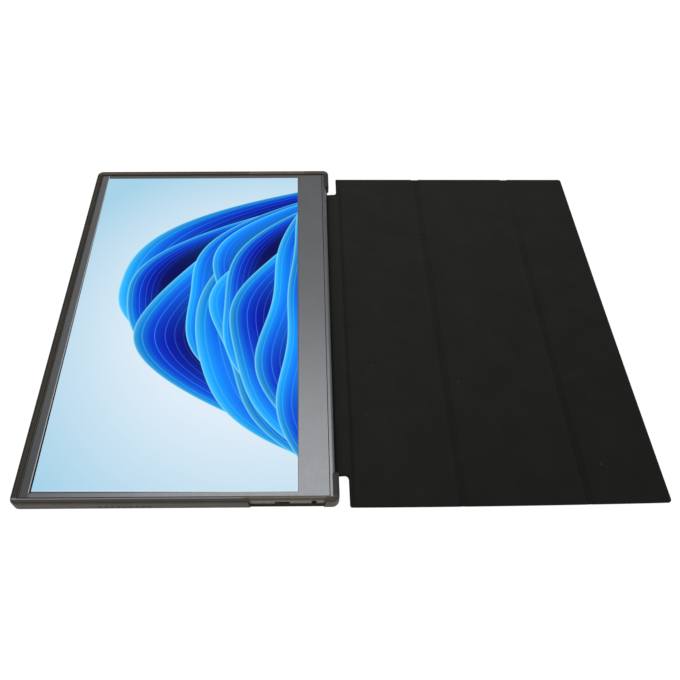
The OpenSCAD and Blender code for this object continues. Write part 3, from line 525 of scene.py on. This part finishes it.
# Waves of the picture from the back one to the front one: height of the crest, its middle along the
# screen, half width, size, length and phase of the swell, depth of the shading
WAVES = (
    (0.77, 0.59, 0.345, 0.070, 6.0, 3.9, 0.34),
    (0.72, 0.54, 0.36, 0.075, 6.4, 4.9, 0.16),
    (0.65, 0.50, 0.375, 0.080, 6.8, 5.7, 0.26),
    (0.57, 0.56, 0.34, 0.070, 6.2, 0.6, 0.15),
    (0.51, 0.47, 0.36, 0.075, 7.0, 1.2, 0.28),
    (0.41, 0.52, 0.35, 0.070, 6.6, 2.3, 0.15),
    (0.38, 0.42, 0.34, 0.065, 7.4, 2.8, 0.24),
    (0.30, 0.50, 0.37, 0.060, 6.8, 4.1, 0.14),
    (0.25, 0.44, 0.36, 0.055, 7.8, 4.6, 0.22),
    (0.16, 0.52, 0.36, 0.050, 7.2, 6.1, 0.20),
    (0.08, 0.46, 0.34, 0.040, 8.0, 0.4, 0.18),
)
HILL_POWER = 2.6
# A quicker ripple on each swell: its length, phase and size against the swell's
RIPPLE_LENGTH, RIPPLE_PHASE, RIPPLE_SIZE = 2.2, 2.1, 0.35
# How fast a wave's outline and its bright crest end, per unit of depth below the crest
OUTLINE_GAIN, CREST_GAIN = 300, 110
# Screen colours from the crest of a wave down into its shade
WAVE_RAMP = (
    (0.0, (84, 216, 255)),
    (0.11, (16, 160, 255)),
    (0.29, (0, 78, 250)),
    (0.55, (0, 28, 200)),
    (1.0, (0, 2, 64)),
)
# Each wave is brighter where it turns to the light and darker in the hollows
TURN_LENGTH, TURN_SHARE = 1.3, 0.4
TURN_LIGHT_RGB = (20, 172, 255)
TURN_DARK_RGB = (0, 8, 116)
# Thin pleats that follow the crest: how they crowd, how many there are, half the period of one, from where
# in that it shows, how crisply, and how strongly
PLEAT_POWER, PLEAT_COUNT, PLEAT_HALF = 1.3, 5.5, 0.5
PLEAT_FROM, PLEAT_GAIN, PLEAT_SHARE = 0.43, 14, 0.7
PLEAT_RGB = (70, 184, 255)
CREST_RGB = (140, 226, 255)


def screen_material():
    """The lit area: rolling waves in blues before a pale glow, with a painted highlight on its near and
    right side, and the cell's border round it, dark on the left and glowing grey as painted reflection on
    the right and the near side.
    """
    m = Mat("screen_picture")
    x0, x1 = scaled(LIT_X, MM)
    y0, y1 = scaled(LIT_Y, MM)
    x, y, _ = m.xyz()
    # The picture's own axes: u runs along the hinge, v from the hinge side up
    u = m.math("DIVIDE", m.sub(y, y0), y1 - y0)
    v = m.math("DIVIDE", m.sub(x1, x), x1 - x0)
    off_x = m.math("POWER", m.mul(m.sub(x, GLOW_X * MM), GLOW_FALL_X), 2)
    off_y = m.math("POWER", m.mul(m.add(y, GLOW_NEARER * MM), GLOW_FALL_Y), 2)
    away = m.math("SQRT", m.add(off_x, off_y))
    glow = m.math("POWER", m.mul(m.sub(away, GLOW_START), GLOW_GAIN, clamp=True), GLOW_POWER)
    picture = m.mix(glow, srgb(*SKY_PALE_RGB), srgb(*SKY_DEEP_RGB))
    # Distances inward from the left, near and right sides
    left = m.sub(m.line(y, LEFT_LEAN, x), LEFT_SIDE_X * MM)
    lean = m.mul(m.math("MAXIMUM", m.sub(NEAR_LEAN_X * MM, x), 0), NEAR_LEAN)
    near = m.sub(m.sub(y, y0), lean)
    right = m.sub(m.sub(x1 - RIGHT_LEAN * y1, x), m.mul(y, RIGHT_LEAN))
    # Painted highlight of the bevel along the near and the right side
    pale = m.mul(m.step(m.math("MINIMUM", near, right), *BEVEL_HIGHLIGHT_REACH), BEVEL_HIGHLIGHT_SHARE)
    picture = m.mix(pale, picture, srgb(*BEVEL_HIGHLIGHT_RGB))
    stops = [(place, srgb(*rgb)) for place, rgb in WAVE_RAMP]
    for k, (height, middle, half, size, length, phase, thick) in enumerate(WAVES):
        d = m.math("DIVIDE", m.sub(u, middle), half)
        hill = m.mul(m.sub(1, m.math("POWER", m.math("ABSOLUTE", d), HILL_POWER)), height)
        swell = m.mul(m.math("SINE", m.add(m.mul(u, length), phase)), size)
        ripple = m.math("SINE", m.add(m.mul(u, length * RIPPLE_LENGTH), phase * RIPPLE_PHASE + k))
        line = m.add(hill, m.add(swell, m.mul(ripple, size * RIPPLE_SIZE)))
        depth = m.sub(line, v)
        inside = m.mul(depth, OUTLINE_GAIN, clamp=True)
        shade = m.math("DIVIDE", depth, thick, clamp=True)
        tone = m.ramp(shade, stops)
        turn = m.line(m.math("SINE", m.add(m.mul(u, length * TURN_LENGTH), phase + k)), 0.5, 0.5)
        tone = m.mix(m.mul(turn, TURN_SHARE), tone, srgb(*TURN_LIGHT_RGB))
        tone = m.mix(m.mul(m.sub(1, turn), TURN_SHARE), tone, srgb(*TURN_DARK_RGB))
        crowded = m.mul(m.math("POWER", shade, PLEAT_POWER), PLEAT_COUNT)
        pleat = m.math("PINGPONG", crowded, PLEAT_HALF)
        crisp = m.mul(m.sub(pleat, PLEAT_FROM), PLEAT_GAIN, clamp=True)
        fade = m.mul(crisp, m.sub(PLEAT_SHARE, m.mul(shade, PLEAT_SHARE)))
        tone = m.mix(fade, tone, srgb(*PLEAT_RGB))
        crest = m.sub(1, m.mul(depth, CREST_GAIN), clamp=True)
        tone = m.mix(crest, tone, srgb(*CREST_RGB))
        picture = m.mix(inside, picture, tone)
    # Painted reflection: the border glows grey on the right and the near side
    picture = m.mix(m.math("GREATER_THAN", right, 0), srgb(*RIGHT_REFLECTION_RGB), picture)
    picture = m.mix(m.math("GREATER_THAN", near, 0), srgb(*NEAR_REFLECTION_RGB), picture)
    m.set(Base_Color=GLASS, Roughness=0.38, Specular_IOR_Level=0.08)
    m.link(picture, m.bsdf.inputs["Emission Color"])
    m.link(m.math("GREATER_THAN", left, 0), m.bsdf.inputs["Emission Strength"])
    return m


dress("lcd_cell", screen_material())

# ---------------------------------------------------------------- stage and light

FLOOR_HALF = 12000
FLOOR_Z = -0.4
FLOOR_GLOW = 1.02

# The studio is brightest in this direction, overhead and a little on the cover's side, and falls off evenly
# all round. Each step is the cosine of the angle from it, and a level.
BRIGHT_TOWARDS = (0.25, -0.1, 0.94)
SKY_STEPS = ((0.0, 0.12), (0.3, 0.14), (0.5, 0.22), (0.72, 0.41), (1.0, 0.62))
SKY_BLUE = 1.03
# A pale backdrop stands round the floor: its level, and the heights in the sky where it is gone and full
BACKDROP_LEVEL = 0.55
BACKDROP_GONE, BACKDROP_FULL = 0.3, 0.05

# A large soft light above the far end: place, target and size in metres, and power in watts
KEY_PLACE = (0.12, 0.42, 1.4)
KEY_TARGET = (0.05, 0, 0)
KEY_SIZE = (1.2, 0.6)
KEY_POWER = 3.4


def add_mesh(name, verts, faces, mats, smooth=True):
    """A mesh object from corners in millimetres."""
    data = bpy.data.meshes.new(name)
    data.from_pydata([tuple(c * MM for c in v) for v in verts], [], faces)
    for m in mats:
        data.materials.append(m.mat)
    for p in data.polygons:
        p.use_smooth = smooth
    data.update()
    obj = bpy.data.objects.new(name, data)
    bpy.context.scene.collection.objects.link(obj)
    return obj


floor_mat = Mat("floor")
floor_mat.set(Base_Color=(0, 0, 0, 1), Roughness=1.0, Specular_IOR_Level=0.0,
              Emission_Color=(1, 1, 1, 1), Emission_Strength=FLOOR_GLOW)
floor_corners = [(a * FLOOR_HALF, b * FLOOR_HALF, FLOOR_Z) for a, b in ((-1, -1), (1, -1), (1, 1), (-1, 1))]
floor = add_mesh("floor", floor_corners, [(0, 1, 2, 3)], [floor_mat])

world = bpy.data.worlds.new("world")
world.use_nodes = True
sky = world.node_tree
towards = sky.nodes.new("ShaderNodeTexCoord")
bright = sky.nodes.new("ShaderNodeVectorMath")
bright.operation = "DOT_PRODUCT"
bright.inputs[1].default_value = Vector(BRIGHT_TOWARDS).normalized()
fall = sky.nodes.new("ShaderNodeValToRGB")
while len(fall.color_ramp.elements) < len(SKY_STEPS):
    fall.color_ramp.elements.new(0.5)
for stop, (place, level) in zip(fall.color_ramp.elements, SKY_STEPS):
    stop.position = place
    stop.color = (level, level, level * SKY_BLUE, 1)
height = sky.nodes.new("ShaderNodeSeparateXYZ")
backdrop = sky.nodes.new("ShaderNodeMapRange")
backdrop.interpolation_type = "SMOOTHSTEP"
backdrop.inputs["From Min"].default_value = BACKDROP_GONE
backdrop.inputs["From Max"].default_value = BACKDROP_FULL
backdrop.inputs["To Max"].default_value = BACKDROP_LEVEL
both = sky.nodes.new("ShaderNodeVectorMath")
both.operation = "ADD"
for start, end in (
    (towards.outputs["Generated"], bright.inputs[0]),
    (bright.outputs["Value"], fall.inputs[0]),
    (towards.outputs["Generated"], height.inputs[0]),
    (height.outputs["Z"], backdrop.inputs["Value"]),
    (backdrop.outputs[0], both.inputs[0]),
    (fall.outputs[0], both.inputs[1]),
    (both.outputs[0], sky.nodes["Background"].inputs[0]),
):
    sky.links.new(start, end)
bpy.context.scene.world = world
bpy.context.scene.view_settings.view_transform = "Standard"

key_data = bpy.data.lights.new("key_light", "AREA")
key_data.shape = "RECTANGLE"
key_data.size, key_data.size_y = KEY_SIZE
key_data.energy = KEY_POWER
key_light = bpy.data.objects.new("key_light", key_data)
key_light.location = KEY_PLACE
aim = Vector(KEY_TARGET) - Vector(KEY_PLACE)
key_light.rotation_euler = aim.to_track_quat("-Z", "Y").to_euler()
bpy.context.scene.collection.objects.link(key_light)

# ---------------------------------------------------------------- shape of the cover

MID_Y = frame["joints"][0]["pos_m"][1] / MM
FREE_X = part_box("panel_3_skin")[1].x / MM
SPINE_Y = [corner.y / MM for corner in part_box("spine_skin")]
EAR_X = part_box("panel_1_skin")[0].x / MM
ROOT_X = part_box("edge_trim")[1].x / MM
# The sides aren't quite parallel. For the near and the far side: y at the ears, y at the free edge, how far
# the side bows outward between them, and the radius of the ear's corner
EAR_Y = (-181.8, 176.8)
FREE_Y = (-179.6, 174.9)
BOW = (0.45, 0.0)
EAR_R = (1.6, 1.1)
# The hollow corner between spine and ear, and the corners of the free edge
FILLET_R = 3.0
FREE_R = 2.6
# The free edge leans out at its near end and is a little hollow; both begin this far past the last fold
LEAN = 0.9
HOLLOW = 0.6
LEAN_START = 5

COVER_T = 2.2
# The grooves: half width, depth of the step and rise of the middle, and the distances from the middle
# between which each of the two slopes
GROOVE = 3.2
GROOVE_DEPTH, GROOVE_RISE = 0.7, 0.3
GROOVE_STEP = (GROOVE - 1.7, GROOVE + 0.9)
GROOVE_CORE = (0, GROOVE - 0.9)
# The spine: its height at the root and of its arch, and the depth and width of the seam
SPINE_T, SPINE_ARCH, ARCH_POWER = 1.3, 1.65, 0.8
ARCH_END = FOLD_B + 0.4
SEAM_DEPTH, SEAM_W = 0.5, 1.3
# The spine's height goes over into the panel's between these places: across the cover, where all is panel
# from SPINE_END on, and along it, counted from the ends of the spine
TO_PANEL = (FOLD_B - 1.6, FOLD_B + 1.8)
SPINE_END = FOLD_B + 3
TO_EAR = (-2.5, 1.5)
# Height of the underside in the spine's arch and in the grooves, and its width there
UNDER_ARCH, UNDER_GROOVE, UNDER_GROOVE_W = 0.5, 0.35, 1.6
# The leather turned over the rim: its width, how much lower it lies, and the slope up to the lining
RIM_W = 0.8
RIM_DROP = 0.45
RIM_SLOPE = (RIM_W - 0.03, RIM_W + 0.45)
RIM_REACH = RIM_W + 0.5
TOP_R, UNDER_R = 0.45, 0.5
# Slow waves in the lining: height in the panels and in the spine, scale per millimetre, slice of the noise,
# and how far in from the edge they reach their full height
PANEL_WAVE, SPINE_WAVE = 0.12, 0.05
WAVE_SCALE, WAVE_SLICE, WAVE_GROWTH = 0.03, 3.7, 12

# Spacing of the mesh in from an edge, away from a fold, past the ears' edge, and elsewhere
EDGE_STEPS = (0, 0.06, 0.2, 0.45, 0.78, 0.82, 1.0, 1.35, 2.0)
FOLD_STEPS = (0, 0.5, 1.1, 1.7, 2.3, 2.8, 3.2, 3.6, 4.2)
EAR_STEPS = (0.001, 0.06, 0.2, 0.45, 0.78, 0.82, 1.1, 1.35, 1.6, 1.9)
FILLET_STEPS = 5
WIDEST_STEP = 3.0
ALONG = 56
ARC = [math.radians(a) for a in range(10, 91, 10)]
# Just past the ears' edge, where the cover's side jumps out
PAST = 0.001
# Places closer than this count as one across the cover, and points closer than this are merged
SAME_X, MERGE = 0.01, 0.0004
LEATHER, LINING = 0, 1


def clamped(v):
    return max(0, min(1, v))


def smooth_step(a, b, v):
    t = clamped((v - a) / (b - a))
    return t * t * (3 - 2 * t)


def bell(v, middle, width):
    return math.exp(-((v - middle) / width) ** 2)


def round_off(r, d):
    """How far a circle of radius r has left its tangent at distance d along the tangent."""
    return r - math.sqrt(max(r ** 2 - d ** 2, 0))


def side_y(x, side):
    """Edge of the cover at x, near for side 0 and far for 1: spine, hollow fillet, ear, round corner."""
    out = -1 if side == 0 else 1
    t = (x - EAR_X) / (FREE_X - EAR_X)
    y = EAR_Y[side] + (FREE_Y[side] - EAR_Y[side]) * t + out * BOW[side] * math.sin(math.pi * t)
    ear_r = EAR_R[side]
    if x <= EAR_X - FILLET_R:
        return SPINE_Y[side]
    if x <= EAR_X:
        return SPINE_Y[side] + out * round_off(FILLET_R, x - (EAR_X - FILLET_R))
    if x < EAR_X + ear_r:
        return y - out * round_off(ear_r, EAR_X + ear_r - x)
    if x > FREE_X - FREE_R:
        return y - out * round_off(FREE_R, x - (FREE_X - FREE_R))
    return y


def outline(side):
    """The cover's edge on one side, from the monitor to the free edge."""
    xs = [ROOT_X, EAR_X - FILLET_R]
    xs += [EAR_X - FILLET_R + FILLET_R * math.sin(a) for a in ARC]
    xs += [EAR_X + PAST]
    xs += [EAR_X + EAR_R[side] * (1 - math.cos(a)) for a in ARC]
    xs += [FREE_X - FREE_R + FREE_R * math.sin(a) for a in [0] + ARC]
    return [(x, side_y(x, side)) for x in xs]


EDGES = [outline(0), outline(1)]


def edge_distance(x, y):
    """Distance from a point of the cover to its edge, not counting the end at the monitor."""
    best = FREE_X - x
    edge = EDGES[0] if y < MID_Y else EDGES[1]
    for (ax, ay), (bx, by) in zip(edge, edge[1:]):
        dx, dy = bx - ax, by - ay
        t = clamped(((x - ax) * dx + (y - ay) * dy) / max(dx * dx + dy * dy, 1e-9))
        best = min(best, math.hypot(x - ax - t * dx, y - ay - t * dy))
    return max(best, 0)


def top_height(x, y):
    """Height of the lining over the cover, without its edges."""
    if x < SPINE_END:
        arch = math.sin(math.pi * clamped((x - ROOT_X) / (ARCH_END - ROOT_X)))
        spine = SPINE_T + SPINE_ARCH * arch ** ARCH_POWER
        hump = spine + (COVER_T - spine) * smooth_step(*TO_PANEL, x) - SEAM_DEPTH * bell(x, SEAM_X, SEAM_W)
        past = max(SPINE_Y[0] - y, y - SPINE_Y[1])
        return hump + (COVER_T - hump) * smooth_step(*TO_EAR, past)
    z = COVER_T
    for fold in (FOLD_C, FOLD_D):
        d = abs(x - fold)
        sunk = GROOVE_DEPTH * (1 - smooth_step(*GROOVE_STEP, d))
        z -= sunk - GROOVE_RISE * (1 - smooth_step(*GROOVE_CORE, d))
    return z


def under_height(x):
    """Height of the leather's underside: up in the arch of the spine and a little in the grooves."""
    z = 0
    if x < FOLD_B:
        z = UNDER_ARCH * math.sin(math.pi * clamped((x - FOLD_A) / (FOLD_B - FOLD_A))) ** 2
    for fold in (FOLD_C, FOLD_D):
        z += UNDER_GROOVE * bell(x, fold, UNDER_GROOVE_W)
    return z


def stations(start, end, folds):
    """Places across the cover from start to end: dense round the folds, even elsewhere."""
    xs = {round(start, 4), round(end, 4)}
    for fold in folds:
        for d in FOLD_STEPS:
            xs.update(round(x, 4) for x in (fold - d, fold + d) if start < x < end)
    ordered = sorted(xs)
    out = [ordered[0]]
    for a, b in zip(ordered, ordered[1:]):
        n = max(1, math.ceil((b - a) / WIDEST_STEP))
        out += [a + (b - a) * i / n for i in range(1, n + 1)]
    return out


def row(x):
    """Places along the cover at x, dense at both ends."""
    near, far = side_y(x, 0), side_y(x, 1)
    inner = EDGE_STEPS[-1]
    middle = [near + inner + (far - near - 2 * inner) * i / ALONG for i in range(1, ALONG)]
    return [near + d for d in EDGE_STEPS] + middle + [far - d for d in reversed(EDGE_STEPS)]


def edge_roll(d, r):
    """How far a rounded edge of radius r has fallen at distance d from it."""
    return round_off(r, r - d) if d < r else 0


def cover_piece(name, start, end, folds, wave):
    """A closed slab of the cover from start to end: lining on top, leather at the rim and below."""
    xs = stations(start, end, folds)
    if abs(end - FREE_X) < SAME_X:
        xs = [x for x in xs if x < end - EDGE_STEPS[-1]] + [end - d for d in reversed(EDGE_STEPS)]
    if start < EAR_X < end:
        ears = [EAR_X - FILLET_R * (1 - i / FILLET_STEPS) for i in range(FILLET_STEPS + 1)]
        ears += [EAR_X + d for d in EAR_STEPS]
        others = [x for x in xs if abs(x - EAR_X) > FILLET_R]
        xs = sorted(set(others + [x for x in ears if x < end - 2 * SAME_X] + [end]))
    top, low, inward = [], [], []
    for x in xs:
        for y in row(x):
            d = edge_distance(x, y)
            place = Vector((x * WAVE_SCALE, y * WAVE_SCALE, WAVE_SLICE))
            z = top_height(x, y) + wave * noise.noise(place) * min(d / WAVE_GROWTH, 1)
            if d < RIM_REACH:
                z -= RIM_DROP * (1 - smooth_step(*RIM_SLOPE, d))
            z -= edge_roll(d, TOP_R)
            t = (FREE_Y[1] - y) / (FREE_Y[1] - FREE_Y[0])
            lean = LEAN * t - HOLLOW * math.sin(math.pi * t)
            out = x + lean * smooth_step(FOLD_D + LEAN_START, FREE_X, x)
            top.append((out, y, z))
            low.append((out, y, under_height(x) + edge_roll(d, UNDER_R)))
            inward.append(d)
    n = len(row(xs[0]))
    m = len(xs)
    faces, mats = [], []

    def at(i, j, under=0):
        return i * n + j + under * m * n

    for i in range(m - 1):
        for j in range(n - 1):
            d = sum(inward[at(a, b)] for a, b in ((i, j), (i + 1, j), (i + 1, j + 1), (i, j + 1))) / 4
            faces.append((at(i, j), at(i, j + 1), at(i + 1, j + 1), at(i + 1, j)))
            mats.append(LEATHER if d < RIM_W else LINING)
            faces.append((at(i, j, 1), at(i + 1, j, 1), at(i + 1, j + 1, 1), at(i, j + 1, 1)))
            mats.append(LEATHER)
    rim = [(i, 0) for i in range(m)] + [(m - 1, j) for j in range(1, n)]
    rim += [(i, n - 1) for i in range(m - 2, -1, -1)] + [(0, j) for j in range(n - 2, 0, -1)]
    for (a, b), (c, d) in zip(rim, rim[1:] + rim[:1]):
        faces.append((at(a, b), at(c, d), at(c, d, 1), at(a, b, 1)))
        mats.append(LEATHER)
    obj = add_mesh(name, top + low, faces, [leather_mat, lining_mat])
    for p, k in zip(obj.data.polygons, mats):
        p.material_index = k
    bm = bmesh.new()
    bm.from_mesh(obj.data)
    bmesh.ops.remove_doubles(bm, verts=bm.verts, dist=MERGE * MM)
    bmesh.ops.recalc_face_normals(bm, faces=bm.faces)
    bm.to_mesh(obj.data)
    bm.free()
    return obj


def crossing(obj):
    """Bakes a piece's placement into its mesh."""
    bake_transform(obj)


# ---------------------------------------------------------------- cover

# Where the cover starts, and where its pieces meet
SPINE_START = ROOT_X + 0.1
JOIN_1 = FOLD_B - 1.4
JOIN_2 = FOLD_C - GROOVE + 0.3
JOIN_3 = FOLD_D - GROOVE + 0.3
# How far past the fold the card in panel 1 starts
CARD_GAP = 2

spine = cover_piece("spine_cover", SPINE_START, JOIN_1, (), SPINE_WAVE)
crossing(spine)
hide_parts("spine_skin", "spine_lining")

panel_1 = cover_piece("panel_1_cover", JOIN_1, JOIN_2, (FOLD_B,), PANEL_WAVE)
crossing(panel_1)
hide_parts("panel_1_skin", "panel_1_lining")

# A card as long as the CAD's board would come out of the ears, so the card starts past the fold
low, high = [[c / MM for c in corner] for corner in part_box("panel_1_board")]
card = add_mesh("panel_1_card", [(x, y, z) for z in (low[2], high[2]) for y in (low[1], high[1])
                                 for x in (FOLD_B + CARD_GAP, high[0])],
                [(0, 2, 3, 1), (4, 5, 7, 6), (0, 1, 5, 4), (2, 6, 7, 3), (0, 4, 6, 2), (1, 3, 7, 5)],
                [plain_mats["panel_card"]], smooth=False)
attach(card, "panel_1")
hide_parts("panel_1_board")

panel_2 = cover_piece("panel_2_cover", JOIN_2, JOIN_3, (FOLD_C,), PANEL_WAVE)
crossing(panel_2)
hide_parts("panel_2_skin", "panel_2_lining")

panel_3 = cover_piece("panel_3_cover", JOIN_3, FREE_X, (FOLD_D,), PANEL_WAVE)
crossing(panel_3)
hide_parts("panel_3_skin", "panel_3_lining")
